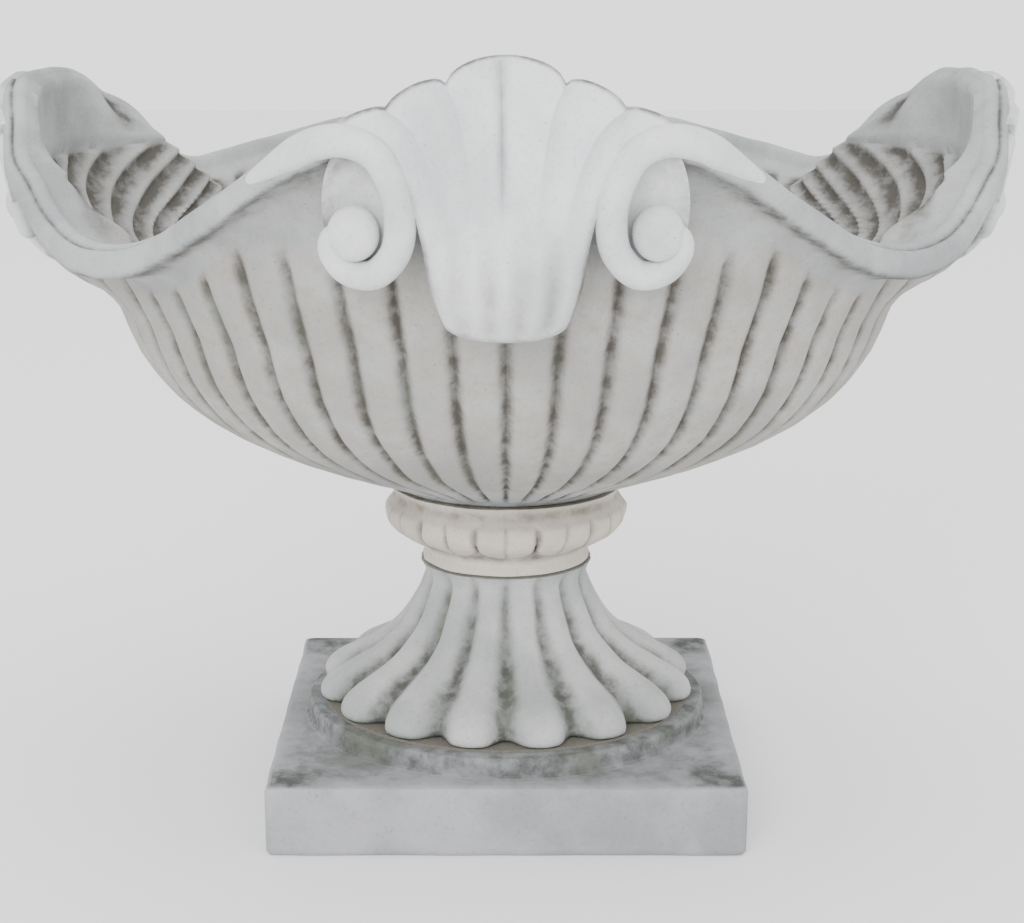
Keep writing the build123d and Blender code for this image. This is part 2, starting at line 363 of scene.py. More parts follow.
@dataclass(frozen=True)
class CastStone:
    """Reconstituted limestone, cast in a mould and weathered outdoors.

    The face is matt and a little chalky, pale where rain washes it, with grey-brown dirt and a
    trace of green algae in the hollows, painted shade in hollows, creases and under overhangs,
    and pin holes from trapped air.
    """

    name: str
    pale: str
    cool: str
    warm: str
    # Colour of the dirt layer, which also paints the shade in hollows, creases and under overhangs
    dirt_and_shade: str
    algae: str
    blotch_mm: float = 70.0
    streak_share: float = 0.22
    grit_mm: float = 2.6
    pit_spacing_mm: float = 9.0
    relief_mm: float = 0.9
    roughness: float = 0.86
    # Strength of the dirt layer, which also holds the painted shade
    dirt_and_shade_amount: float = 1.0

    def colour(self, tree: bpy.types.NodeTree, blotch: bpy.types.NodeSocket, streak: bpy.types.NodeSocket,
               grit: bpy.types.NodeSocket, pits: bpy.types.NodeSocket) -> bpy.types.NodeSocket:
        """Pale stone with each layer mixed over it by its cover.

        The dirt layer is the larger of d (1 + streaks) and faint streaks everywhere, d the attribute
        of dirt and painted shade; algae is damp blotches times d; the warm tint is the warm attribute
        times streaks.

        Args:
            tree: Node tree of the material.
            blotch: Coarse noise.
            streak: Middling noise.
            grit: Fine noise.
            pits: 1 in the pin holes.
        Returns:
            The colour.
        """
        dirt_and_shade, warm = [node(tree, "ShaderNodeAttribute", {"attribute_name": title}, "Fac")
                      for title in ("dirt_and_shade", "warm")]
        patches, tint, uneven, faint, damp, grains = [
            node(tree, RAMP, {"interpolation_type": "SMOOTHSTEP", "Value": source, "From Min": low,
                              "From Max": high, "To Min": start, "To Max": end})
            for source, low, high, start, end in (
                (blotch, 0.38, 0.62, 0.0, 1.0), (streak, 0.30, 0.70, 0.35, 1.0),
                (streak, 0.35, 0.75, -0.3, 0.5), (streak, 0.54, 0.76, 0.0, 0.26),
                (blotch, 0.50, 0.68, 0.0, 1.0), (grit, 0.50, 0.78, 0.0, 0.16))]
        tinted = node(tree, MATH, {"operation": "MULTIPLY", 0: warm, 1: tint})
        # Cover of the dirt colour: real dirt and painted shade from the attribute, made uneven by streaks
        soil_and_shade = node(tree, MATH, {"operation": "MULTIPLY_ADD", 0: uneven, 1: dirt_and_shade, 2: dirt_and_shade})
        soil_and_shade = node(tree, MATH, {"operation": "MAXIMUM", 0: soil_and_shade, 1: faint})
        soil_and_shade = node(tree, MATH, {"operation": "MULTIPLY", 0: soil_and_shade, 1: self.dirt_and_shade_amount})
        green = node(tree, MATH, {"operation": "ADD", 0: dirt_and_shade, 1: 0.06})
        green = node(tree, MATH, {"operation": "MULTIPLY", 0: damp, 1: green})
        soiled_and_shaded, mossy = [
            node(tree, RAMP, {"interpolation_type": "SMOOTHSTEP", "Value": source, "From Max": high,
                              "To Max": end}) for source, high, end in ((soil_and_shade, 1.0, 0.9), (green, 0.8, 0.6))]
        pitted = node(tree, MATH, {"operation": "MULTIPLY", 0: pits, 1: 0.35})
        colour = linear(self.pale)
        for cover, layer in ((patches, self.cool), (tinted, self.warm), (soiled_and_shaded, self.dirt_and_shade),
                             (mossy, self.algae), (grains, self.dirt_and_shade), (pitted, self.dirt_and_shade)):
            colour = node(tree, MIX, {"data_type": "RGBA", 0: cover, 6: colour, 7: linear(layer)}, 2)
        return colour

    def build(self) -> bpy.types.Material:
        """Node material: layered colour, and bump from 0.7 grit + 1.6 streaks - 0.6 pits.

        Returns:
            The material.
        """
        material = empty_material(self.name)
        tree = material.node_tree
        place = node(tree, "ShaderNodeTexCoord", {}, "Object")
        streak_mm = self.blotch_mm * self.streak_share
        blotch, streak, grit = [
            node(tree, NOISE, {"Vector": place, "Scale": 1.0 / (size * MM), "Detail": detail,
                               "Roughness": rough})
            for size, detail, rough in ((self.blotch_mm, 6.0, 0.55), (streak_mm, 5.0, 0.65),
                                        (self.grit_mm, 3.0, 0.55))]
        holes = node(tree, "ShaderNodeTexVoronoi",
                     {"Vector": place, "Scale": 1.0 / (self.pit_spacing_mm * MM), "Randomness": 1.0})
        pits = node(tree, RAMP, {"interpolation_type": "SMOOTHSTEP", "Value": holes, "From Min": 0.10,
                                 "From Max": 0.02})
        relief = 0.0
        for source, weight in ((pits, -0.6), (streak, 1.6), (grit, 0.7)):
            relief = node(tree, MATH, {"operation": "MULTIPLY_ADD", 0: source, 1: weight, 2: relief})
        bump = node(tree, "ShaderNodeBump",
                    {"Strength": 0.55, "Distance": self.relief_mm * MM, "Height": relief})
        rough = node(tree, RAMP, {"interpolation_type": "SMOOTHSTEP", "Value": streak, "From Min": 0.3,
                                  "From Max": 0.7, "To Min": self.roughness - 0.05,
                                  "To Max": self.roughness + 0.07})
        shader = node(tree, "ShaderNodeBsdfPrincipled",
                      {"IOR": 1.5, "Specular IOR Level": 0.25,
                       "Base Color": self.colour(tree, blotch, streak, grit, pits), "Roughness": rough,
                       "Normal": bump})
        node(tree, "ShaderNodeOutputMaterial", {"Surface": shader})
        return material


@dataclass(frozen=True)
class PlainFinish:
    """Mortar, zinc-plated steel or black rubber of the hidden tie.

    Mortar is sandy and matt, plated steel has a dull grey gleam with fine turning marks, and
    rubber is near black with a soft sheen.
    """

    name: str
    light: str
    dark: str
    metallic: float
    roughness: float
    grain_mm: float
    bump: float

    def build(self) -> bpy.types.Material:
        """Node material: two tones mixed by a fine noise, with matching bump.

        Returns:
            The material.
        """
        material = empty_material(self.name)
        tree = material.node_tree
        place = node(tree, "ShaderNodeTexCoord", {}, "Object")
        grain = node(tree, NOISE, {"Vector": place, "Scale": 1.0 / (self.grain_mm * MM), "Detail": 4.0})
        tone = node(tree, MIX,
                    {"data_type": "RGBA", 0: grain, 6: linear(self.light), 7: linear(self.dark)}, 2)
        rough = node(tree, RAMP, {"Value": grain, "To Min": self.roughness - 0.08,
                                  "To Max": self.roughness + 0.08})
        bump = node(tree, "ShaderNodeBump", {"Strength": self.bump, "Distance": 0.0004, "Height": grain})
        shader = node(tree, "ShaderNodeBsdfPrincipled",
                      {"Metallic": self.metallic, "Base Color": tone, "Roughness": rough, "Normal": bump})
        node(tree, "ShaderNodeOutputMaterial", {"Surface": shader})
        return material


FINISHES = {
    Slot.BOWL: CastStone("weathered_cast_limestone_bowl", "#a9adae", "#93989a", "#9d958b", "#3f3b36",
                         "#54574a"),
    Slot.COLLAR: CastStone("weathered_cast_limestone_collar", "#d2cec6", "#bcb8b1", "#c6bbad", "#4b463f",
                           "#6c6c55"),
    Slot.FOOT: CastStone("weathered_cast_limestone_foot", "#b6b9b8", "#9da2a2", "#aaa49a", "#3d3f39",
                         "#666a58"),
    Slot.PLINTH: CastStone("weathered_cast_limestone_plinth", "#a4a5aa", "#8e9195", "#9f9b95", "#3d3f3a",
                           "#555b4c"),
    Slot.MORTAR: PlainFinish("pointing_mortar", "#77746c", "#59564e", 0.0, 0.9, 1.8, 0.5),
    Slot.STEEL: PlainFinish("zinc_plated_steel", "#b4b8bb", "#8a8e90", 1.0, 0.42, 2.5, 0.15),
    Slot.RUBBER: PlainFinish("black_rubber", "#1c1c1c", "#2a2a2a", 0.0, 0.6, 2.0, 0.2),
}

# Paler stone of the carving: rain-washed, and lighter by painted light where it faces up into the light
WASHED_AND_LIT = CastStone("rain_washed_and_lit_cast_limestone", "#d8dadc", "#c2c6c8", "#b8b1a7", "#4b4843", "#62655a",
                   dirt_and_shade_amount=0.85)


# Bowl


# Height of the front tongue's tip, and the size of the back ornament as a share of the front's
TIP_Z = 384.0
BACK_SHARE = 0.62


@dataclass(frozen=True)
class LobeOrnament:
    """Palmette and scrolls of one lobe, with sizes as shares of the front's.

    The side lobes have a thin wall, so their carving is thin and its scrolls lie deeper.
    """

    azimuth: float
    crest: float = 1.0
    palmette: float = 1.0
    scroll: float = 1.0
    thickness: float = 99.0
    coil_sunk: float = 6.5
    merge: float = 1.0
    # Strength of the painted shade along the fan's top edge
    edge_shade: float = 0.85

    def sized(self, height: Array, share: float) -> Array:
        """Height of the drawing scaled by the share about the tongue's tip."""
        return TIP_Z + (height - TIP_Z) * share


# Side lobes: thin carving, deep scrolls and weaker painted shade along the fan's edge
SIDE_LOBE = {"crest": 0.85, "palmette": 0.85, "scroll": 0.78, "thickness": 18.0, "coil_sunk": 9.0,
             "merge": 0.6, "edge_shade": 0.25}
ORNAMENTS = (LobeOrnament(0.0), LobeOrnament(90.0, **SIDE_LOBE),
             LobeOrnament(180.0, palmette=BACK_SHARE, scroll=BACK_SHARE), LobeOrnament(270.0, **SIDE_LOBE))


@dataclass
class Bowl:
    """Ribbed bowl with a waved quatrefoil rim, a palmette and two scrolls on every lobe.

    The side is a list of (radius, height) and the rim's waves of (side distance, height).  The
    curves of face, depth and hollow are (height, value).  The band's edge is (out, up) from the
    band radius and the rim, and the ornament's drawings are (side distance, height).
    """

    columns: int = 756
    ribs: int = 54
    rib_depth: float = 6.0
    inner_rib_depth: float = 6.0
    lobe_radius: float = 351.0
    diagonal_radius: float = 317.0
    band_height: float = 21.0
    band_width: float = 19.0
    cove_height: float = 13.0
    inner_drop: float = 8.0
    chamfer: float = 18.0
    scoop_wall: float = 9.0
    hole_radius: float = 12.0
    seat_z: float = 226.0
    floor_z: float = 264.0
    hollow_foot_z: float = 268.0
    ribs_foot_z: float = 382.0
    level_z: float = 459.0
    side: Curve = curve(
        (84, 228), (100, 234), (122, 242), (141, 249), (162, 257), (184, 267), (203, 277), (222, 289),
        (238, 302), (251, 317), (261, 332), (268, 348), (274, 366), (279, 376), (284, 387), (288, 396),
        (292, 406), (296, 418), (300, 430))
    rim_front: Curve = curve(
        (0, 514), (60, 514), (97, 513), (136, 495), (161, 477), (199, 450), (224, 434), (252, 425),
        (276, 426), (292, 432), (305, 443), (319, 461), (330, 474), (338, 490), (345, 508), (351, 520))
    rim_back: Curve = curve(
        (0, 465), (60, 465), (110, 465), (146, 462), (190, 454), (215, 449), (240, 444), (256, 441),
        (268, 445), (285, 464), (300, 484), (318, 499), (330, 511), (351, 520))
    band_edge: Curve = curve(
        (-7, -21), (-2.5, -20.5), (0, -17), (0.6, -11), (-0.2, -5.5), (-3.2, -2.6), (-6.0, -3.4),
        (-8.0, -0.8), (-11.5, 0.8), (-15, -0.6), (-17.5, -4.0))
    face_curve: Curve = curve(
        (364, 291), (380, 301), (386, 314), (398, 329), (420, 343), (446, 350), (479, 354), (505, 354),
        (525, 351), (552, 343))
    depth_curve: Curve = curve(
        (384, 36), (400, 52), (430, 58), (446, 56), (470, 48), (493, 30), (505, 26), (520, 20), (552, 18))
    hollow_plain: Curve = curve(
        (266, 95), (304, 190), (368, 240), (400, 262), (430, 275), (460, 285), (520, 296))
    hollow_lobe: Curve = curve(
        (266, 95), (304, 190), (368, 240), (400, 258), (430, 274), (459, 289), (480, 302), (505, 322),
        (530, 327))
    hollow_scoop: Curve = curve(
        (266, 95), (304, 190), (368, 240), (385, 262), (400, 285), (415, 302), (430, 315), (446, 323),
        (459, 326), (480, 328), (505, 327), (530, 325))
    palmette_side: Curve = curve((37, 402), (43, 420), (48, 450), (56, 478), (74, 500), (97, 510))
    scroll_path: Curve = curve(
        (150, 476), (136, 485), (122, 494), (106, 502), (90, 504), (74, 498), (63, 481), (59, 459),
        (63, 440), (76, 428), (91, 431), (99, 444), (94, 456))

    def lobe(self, azimuth: Array) -> Array:
        """1 on a lobe axis and 0 on the diagonals: a cubic ramp of the angle from the axis."""
        return 1.0 - smoothstep(12.0, 46.0, from_axis(azimuth))

    def reach(self, azimuth: Array) -> Array:
        """Radius of the quatrefoil: from the diagonals' to the lobes' by the lobe ramp."""
        return self.diagonal_radius + (self.lobe_radius - self.diagonal_radius) * self.lobe(azimuth)

    def band_radius(self, azimuth: Array) -> Array:
        """Outer radius of the rim band: the quatrefoil, set back a little behind each palmette.

        Args:
            azimuth: Row of azimuths in radians.
        Returns:
            Radius at each azimuth.
        """
        width = np.where(np.cos(azimuth) < -0.7, BACK_SHARE, 1.0)
        set_back = np.where(np.abs(np.sin(azimuth)) > 0.7, 5.0, 14.0)
        return self.reach(azimuth) - set_back * (1.0 - smoothstep(13.0, 19.0, from_axis(azimuth) / width))

    def flank(self, azimuth: Array) -> Array:
        """1 on the two side lobes, which are open scoops, and 0 away from them."""
        return 1.0 - smoothstep(8.0, 34.0, np.degrees(np.arccos(np.abs(np.sin(azimuth)))))

    def rim(self, azimuth: Array) -> Array:
        """Height of the waved rim, read from the side distance x = R sin(azimuth).

        At the back, the side lobes have a small notch: a bell curve 22 degrees from their axis.

        Args:
            azimuth: Row of azimuths in radians.
        Returns:
            Height at each azimuth.
        """
        x = np.abs(self.reach(azimuth) * np.sin(azimuth))
        notch = 4.0 * np.exp(-((from_axis(azimuth) - 22.0) / 1.8) ** 2) * self.flank(azimuth)
        return np.where(np.cos(azimuth) > 0, through(x, self.rim_front), through(x, self.rim_back) - notch)

    def face(self, height: Array) -> Array:
        """Radius of the ornament's face at a height."""
        return through(height, self.face_curve)

    def depth(self, height: Array) -> Array:
        """How far the ornament reaches back from its face into the wall, by unscaled height."""
        return np.interp(height, *np.transpose(self.depth_curve))

    def inner(self, height: Array, azimuth: Array) -> Array:
        """Radius of the hollow: curves on the diagonals, the lobes and the side scoops, mixed.

        Args:
            height: Heights, (rows, columns).
            azimuth: Row of azimuths in radians.
        Returns:
            Radius at each height and azimuth.
        """
        curves = (self.hollow_plain, self.hollow_lobe, self.hollow_scoop)
        plain, wide, scoop = [through(height, points) for points in curves]
        mixed = plain + (wide - plain) * self.lobe(azimuth)
        return mixed + (scoop - mixed) * self.flank(azimuth)

    def body(self, azimuth: Array, top: Array) -> tuple[Strip, Array]:
        """Ribbed body, which follows the side profile by arc length up to the foot of the cove.

        Grooves are d s (0.45 q^2 + 0.55 ramp(q)) deep, with q the rib wave and s a strength that
        fades at both ends.  The side lobes flare out to a wall's thickness behind the face.

        Args:
            azimuth: Row of azimuths in radians.
            top: Height of the cove's foot at each azimuth.
        Returns:
            The body, and its radius at the top without grooves.
        """
        p = np.asarray(self.side, float)
        length = chord(p)
        t = np.linspace(0.0, 1.0, 46)[:, None]
        run = t * np.interp(top, p[:, 1], length)[None, :]
        height, radius = np.interp(run, length, p[:, 1]), np.interp(run, length, p[:, 0])
        q = zigzag(azimuth, self.ribs)[None, :]
        strength = smoothstep(0.0, 0.12, t) * (1.0 - 0.55 * smoothstep(0.97, 1.0, t))
        depth = self.rib_depth * (0.4 + 0.6 * smoothstep(84, 200, radius))
        flare = self.flank(azimuth) * smoothstep(362, TIP_Z, height)
        radius = radius + flare * np.clip(self.face(height) - self.scoop_wall - radius, 0, None)
        cut = depth * strength * (0.45 * q**2 + 0.55 * smoothstep(0.6, 1.0, q))
        # Rib grooves darker: painted shade in the grooves, with dirt
        dirt_and_shade = strength * (0.62 * smoothstep(0.55, 1.0, q) + 0.20 * q**2)
        # Painted shade on the bowl's underside near the seat, darker towards the bottom
        dirt_and_shade = dirt_and_shade + 0.35 * (1 - smoothstep(0.02, 0.2, t))
        warm = np.broadcast_to(0.75 * smoothstep(0.0, 0.3, t), radius.shape)
        height = height + 0.5 * cut * (1.0 - smoothstep(84, 240, radius))
        return (radius - cut, height, dirt_and_shade, warm), radius[-1]

    def cove(self, band: Array, low: Array, high: Array, plain: Array, cut: Array) -> Strip:
        """Hollow under the band: a quarter ellipse, r = a + b (1 - cos t), z = c + d sin t.

        Args:
            band: Radius of the band.
            low: Height of the cove's foot.
            high: Height of the band's lower edge.
            plain: Radius at the foot without grooves.
            cut: How far the grooves change that radius, which runs out up the cove.
        Returns:
            The cove without its foot.
        """
        t = np.linspace(0.0, math.pi / 2, 9)[1:, None]
        share = t / (math.pi / 2)
        radius = plain + cut * (1 - share) + (band + self.band_edge[0][0] - plain) * (1 - np.cos(t))
        height = low + (high - low) * np.sin(t)
        # Painted shade under the overhanging band, darker up towards its lower edge, over a little dirt
        dirt_and_shade = 0.12 + 0.5 * smoothstep(0.55, 1.0, share) + np.zeros_like(radius)
        return radius, height, dirt_and_shade, 0.35 + np.zeros_like(radius)

    def band(self, rim: Array, radius: Array) -> Strip:
        """Flat band and bead: a smooth path at fixed distances from the band radius and the rim.

        Args:
            rim: Height of the rim at each azimuth.
            radius: Radius of the band at each azimuth.
        Returns:
            The band up to the inner edge of the rim.
        """
        out, up = np.split(path_through(self.band_edge, 26)[1:], 2, axis=1)
        # Painted shade in the groove beside the bead and a painted shadow line along the band's lower edge,
        # over a little dirt
        groove = np.exp(-((out + 5.5) / 1.5) ** 2 - ((up + 3) / 2.0) ** 2)
        dirt_and_shade = 0.10 + 0.7 * groove + 0.5 * np.exp(-((up + self.band_height) / 2.5) ** 2) + 0 * radius
        return radius[None, :] + out, rim[None, :] + up, dirt_and_shade, np.full_like(dirt_and_shade, 0.1)

    def outside(self, azimuth: Array) -> Strip:
        """Body, cove, band and bead, from the seat up to the inner edge of the rim.

        Args:
            azimuth: Row of azimuths in radians.
        Returns:
            The outer wall.
        """
        rim, band = self.rim(azimuth), self.band_radius(azimuth)
        lip_z = rim - self.band_height
        cove_z = np.minimum(lip_z - self.cove_height, self.side[-1][1])
        body, plain = self.body(azimuth, cove_z)
        return stacked(body, self.cove(band, cove_z, lip_z, plain, body[0][-1] - plain), self.band(rim, band))

    def slant(self, azimuth: Array, height: Array) -> Array:
        """Phase of the slanted ribs inside, equal on the left and right.

        The ribs stand about 14 mm apart as seen from the front: the phase is the side distance
        rolled out along the wall, plus a lean that is steeper towards the back and low down, each
        divided by the spacing.

        Args:
            azimuth: Azimuths in radians.
            height: Heights in mm.
        Returns:
            Phase in turns, a whole number on every ridge.
        """
        beta = np.abs(np.angle(np.exp(1j * (azimuth - math.pi))))
        table = np.linspace(0.0, math.pi, 361)
        cosine = np.abs(np.cos(table))
        wall, spacing = 310.0, 13.5 + 5.0 * cosine**4
        rate = wall * np.maximum(cosine, 0.40) / spacing
        rolled = np.concatenate([[0.0], np.cumsum(rate[:-1] * np.diff(table))])
        lean = (0.35 + 0.9 * np.abs(np.cos(beta))) * (1.0 + 0.5 * smoothstep(430, 390, height))
        return np.interp(beta, table, rolled) + lean * (height - 430.0) / 14.0

    def inside(self, azimuth: Array) -> Strip:
        """Smooth panels, slanted ribs and hollow, from the rim down to the edge of the floor.

        Under the rim the radius runs from the band's inner edge to the hollow's by a cubic ramp.
        Ribs stand in by a cosine wave of the slant, and the panels of the side lobes and of the
        front have a step below and an upright cut 22 degrees from the lobe's axis.

        Args:
            azimuth: Row of azimuths in radians.
        Returns:
            The inner wall.
        """
        rim, band = self.rim(azimuth), self.band_radius(azimuth)
        top = rim - self.inner_drop
        level = np.minimum(self.level_z, top - 6.0)
        low = self.hollow_foot_z + 0 * rim
        foot = self.ribs_foot_z + 0 * rim
        height = np.concatenate([
            start + (end - start) * np.linspace(0.0, 1.0, rows)[first:, None]
            for start, end, rows, first in ((top, level, 9, 0), (level, foot, 28, 1), (foot, low, 8, 1))])
        radius = self.inner(height, azimuth[None, :])
        off = from_axis(azimuth)[None, :]
        span = np.maximum(0.5 * (top - level), self.chamfer * smoothstep(16, 28, off))
        step_in = band - self.band_width - radius[0]
        radius += step_in[None, :] * (1 - smoothstep(0.0, 1.0, (top - height) / span))
        high = rim > 470
        cut = np.exp(-((off - 22.0) / 1.7) ** 2) * smoothstep(level + 4, level + 22, height) * high
        window = smoothstep(self.ribs_foot_z, self.ribs_foot_z + 10.0, height)
        window = window * (1 - smoothstep(level - 5, level + 1, height))
        wave = 0.5 + 0.5 * np.cos(2 * math.pi * self.slant(azimuth[None, :], height))
        radius = radius + 5.0 * cut + self.inner_rib_depth * window * (0.2 - wave**1.4)
        radius = radius - 4.0 * smoothstep(level - 1, level + 4, height) * high
        # Painted shade and dirt deep in the hollow, darker below 400 mm
        deep_shade_and_dirt = 0.45 * (1 - smoothstep(300, 400, height))
        # Painted shadow in the upright cuts and painted shade in the grooves between the slanted ribs, with
        # dirt
        dirt_and_shade = 0.10 + 0.85 * cut + window * (0.85 * (1 - wave) ** 0.8) + deep_shade_and_dirt
        return radius, height, dirt_and_shade, 0.25 + 0.3 * window

    def loops(self, points: Curve, dirt_and_shade: float) -> Strip:
        """Plain round loops.

        Args:
            points: Radius and height of each loop.
            dirt_and_shade: Dirt on all of them.
        Returns:
            The loops.
        """
        p = np.asarray(points, float)
        radius = np.repeat(p[:, :1], self.columns, 1)
        height = np.repeat(p[:, 1:], self.columns, 1)
        return radius, height, np.full_like(radius, dirt_and_shade), np.full_like(radius, 0.4)

    def shell(self) -> Surface:
        """The whole bowl as one closed ring of loops, seat to rim to floor to drain hole."""
        azimuth = np.linspace(0.0, 2 * math.pi, self.columns, endpoint=False)
        hole = self.hole_radius
        seat = self.loops([(hole, self.seat_z), (40, self.seat_z), (70, self.seat_z), (82, self.seat_z)], 0.5)
        floor = self.loops([(80, self.floor_z), (32, self.floor_z), (hole, self.floor_z), (hole, 245)], 0.8)
        radius, height, dirt_and_shade, warm = stacked(seat, self.outside(azimuth), self.inside(azimuth), floor)
        points = around(radius, azimuth[None, :], height)
        points[4:-4] += 0.5 * waver(points[4:-4], 55.0, 3)[..., None] * np.array([0.5, 0.5, 1.0])
        return Surface.rings(points, dirt_and_shade, warm)

    def palmette(self, lobe: LobeOrnament) -> Surface:
        """Slab in the shape of a tongue, a waist and a five-lobed fan.

        A point of the front is x = u w(v), z = z(v) + lift(u, v), for u from -1 to 1 across and v
        from 0 at the tongue to 1 at the fan's edge.  The face radius is lowered by shallow
        channels, -d (1 - m^2) with m the place between two ridges, by a middle groove, by reeds on
        the tongue and towards the edges.

        Args:
            lobe: Sizes of the ornament.
        Returns:
            The closed slab on the front lobe.
        """
        n, m = 65, 60
        u = np.linspace(-1.0, 1.0, n)[None, :]
        v = np.linspace(0.0, 1.0, m)[:, None]
        side = path_through(self.palmette_side, m)
        shoulder, foot = self.palmette_side[-1][1], self.palmette_side[0][1]
        ends = np.array([-1.0, -0.69, -0.34, 0.34, 0.69, 1.0])
        end_z = np.array([shoulder, 521, 534, 534, 521, shoulder], float)
        bulge = np.array([4.5, 8.0, 17.0, 8.0, 4.5])
        part = np.clip(np.searchsorted(ends, u) - 1, 0, 4)
        middle = 2 * (u - ends[part]) / (ends[part + 1] - ends[part]) - 1
        top = np.interp(u, ends, end_z) + bulge[part] * np.sqrt(np.clip(1 - middle**2, 0, 1))
        top = shoulder + (top - shoulder) * lobe.crest
        low = TIP_Z + 18 * (1 - np.sqrt(np.clip(1 - 0.98 * u**2, 0, 1)))
        x = u * side[:, :1]
        fan = smoothstep(0.45, 1.0, v)
        tongue = 1 - smoothstep(0.0, 0.55, v)
        z = side[:, 1:] + (top - shoulder) * fan + (low - foot) * tongue
        x = x * (1 + 0.012 * fan * np.abs(middle) ** 6)

        channel = (1 - middle**2) * (0.25 + 0.75 * smoothstep(0.3, 1.0, v)) * smoothstep(0.22, 0.45, v)
        groove = np.exp(-((u + 0.03) / 0.035) ** 2) * smoothstep(0.35, 0.7, v)
        groove = groove * (1 - 0.4 * smoothstep(0.9, 1, v))
        reeds = 0.5 + 0.5 * np.cos(2 * math.pi * u / 0.4)
        reeded = (1 - smoothstep(0.22, 0.5, v)) * smoothstep(0.0, 0.06, v)
        edge = 1 - smoothstep(0.0, 0.10, 1 - np.abs(u))
        tip = 1 - smoothstep(0.0, 0.05, v)
        drop = 9.0 * channel + 6.0 * groove + 6.0 * (1 - reeds) * reeded + 4.0 * edge**2 + 4.0 * tip**2
        drop += 2.0 * smoothstep(0.97, 1.0, v)
        depth = np.minimum(self.depth(z), lobe.thickness)
        # Front of the carving: a little dirt, and painted shade in the middle groove and between the reeds
        front_dirt_and_shade = 0.04 + 0.28 * groove + 0.3 * (1 - reeds) ** 2 * reeded
        # Painted shadow along the sides of the tongue and waist, and painted shade in the fan's channels
        front_dirt_and_shade = front_dirt_and_shade + 0.35 * edge * (1 - fan) + 0.08 * channel
        # Painted shade along the fan's top edge, and a painted shadow under the tongue's tip
        front_dirt_and_shade = front_dirt_and_shade + lobe.edge_shade * smoothstep(0.965, 1.0, v) + 0.5 * tip

        x, z = x * lobe.palmette, lobe.sized(z, lobe.palmette)
        face = self.face(z)
        front, back = ahead(x, face - drop * max(lobe.palmette, 0.7), z), ahead(x, face - depth, z)
        loop = np.concatenate([front, back[:, ::-1]], axis=1)
        dirt_and_shade = np.concatenate([front_dirt_and_shade + 0 * x, 0.3 + 0 * x], axis=1)
        warm = np.concatenate([0.05 + 0.25 * tongue + 0 * x, 0.3 + 0 * x], axis=1)
        return Surface.rings(loop, dirt_and_shade, warm, ends=True)

    def scroll(self, lobe: LobeOrnament) -> Surface:
        """Right-hand scroll: a round coil carried along a spiral path, with a bulb and a dish.

        Each ring is centre + rho (cos a n + sin a b), n outwards from the axis and b square to
        the path.  rho shrinks as a half circle at both ends, and the start sinks into the band.

        Args:
            lobe: Sizes of the ornament.
        Returns:
            Three closed surfaces as one, on the front lobe.
        """
        count = 90
        path = path_through(self.scroll_path, count)
        x, z = path[:, 0] * lobe.scroll, lobe.sized(path[:, 1], lobe.scroll)
        share = np.linspace(0, 1, count)
        rho = np.interp(share, [0, 0.08, 0.18, 0.5, 0.85, 1], [3.5, 6.5, 9.5, 9.5, 8.5, 7.5]) * lobe.scroll
        for short in ((0.03 - share) / 0.03, (share - 0.96) / 0.04):
            rho = rho * np.sqrt(np.clip(1 - np.clip(short, 0, 1) ** 2, 0.003, 1))
        merge = np.interp(share, [0, 0.08, 0.17, 0.27, 1], [13, 9, 5, 1, 0]) * lobe.merge
        radius = self.face(z) - lobe.coil_sunk - merge
        centre = ahead(x, radius, z)
        out = centre * np.array([1.0, 1.0, 0.0]) / radius[:, None]
        across = np.cross(np.gradient(centre, axis=0), out)
        across /= np.linalg.norm(across, axis=1)[:, None]
        a = np.linspace(0, 2 * math.pi, 20, endpoint=False)[None, :, None]
        ring = centre[:, None] + rho[:, None, None] * (np.cos(a) * out[:, None] + np.sin(a) * across[:, None])
        # Painted shade on the coil's back, where it turns towards the wall, over a little dirt
        low = (1 - np.cos(a[..., 0])) / 2 + 0 * ring[..., 0]
        coil = Surface.rings(ring, 0.08 + 0.75 * low**2, np.full_like(low, 0.15), ends=True)
        return Surface.joined([coil, self.bulb(lobe), self.dish(lobe)])

    def dish(self, lobe: LobeOrnament) -> Surface:
        """Upright oval plate behind the coil, hollowed towards its middle.

        Rows run up the oval, z = c + h t with half width w sqrt(1 - t^2).  The front lies
        k (2 - u^2 - t^2) behind the ornament's face, and the back reaches into the wall.

        Args:
            lobe: Sizes of the ornament.
        Returns:
            The closed plate.
        """
        t = np.sin(np.linspace(-1.54, 1.54, 41))[:, None]
        u = np.linspace(-1.0, 1.0, 33)[None, :]
        x = (79 + 25 * np.sqrt(1 - t**2) * u) * lobe.scroll
        flat = 467 + 43 * t + 0 * u
        z = lobe.sized(flat, lobe.scroll)
        hollow = np.clip(1 - u**2 - t**2, 0, 1)
        face = self.face(z)
        sink = min(9.0, 0.3 * lobe.thickness)
        front = ahead(x, face - sink - sink * hollow, z)
        back = ahead(x, face - np.minimum(self.depth(flat), lobe.thickness), z)
        # Painted shade round the dish's rim behind the coil, lighter in its hollow middle, over a little dirt
        dirt_and_shade = np.concatenate([0.18 + 0.4 * (1 - hollow), 0.4 + 0 * x], axis=1)
        return Surface.rings(np.concatenate([front, back[:, ::-1]], axis=1), dirt_and_shade, np.full_like(dirt_and_shade, 0.2),
                             ends=True)

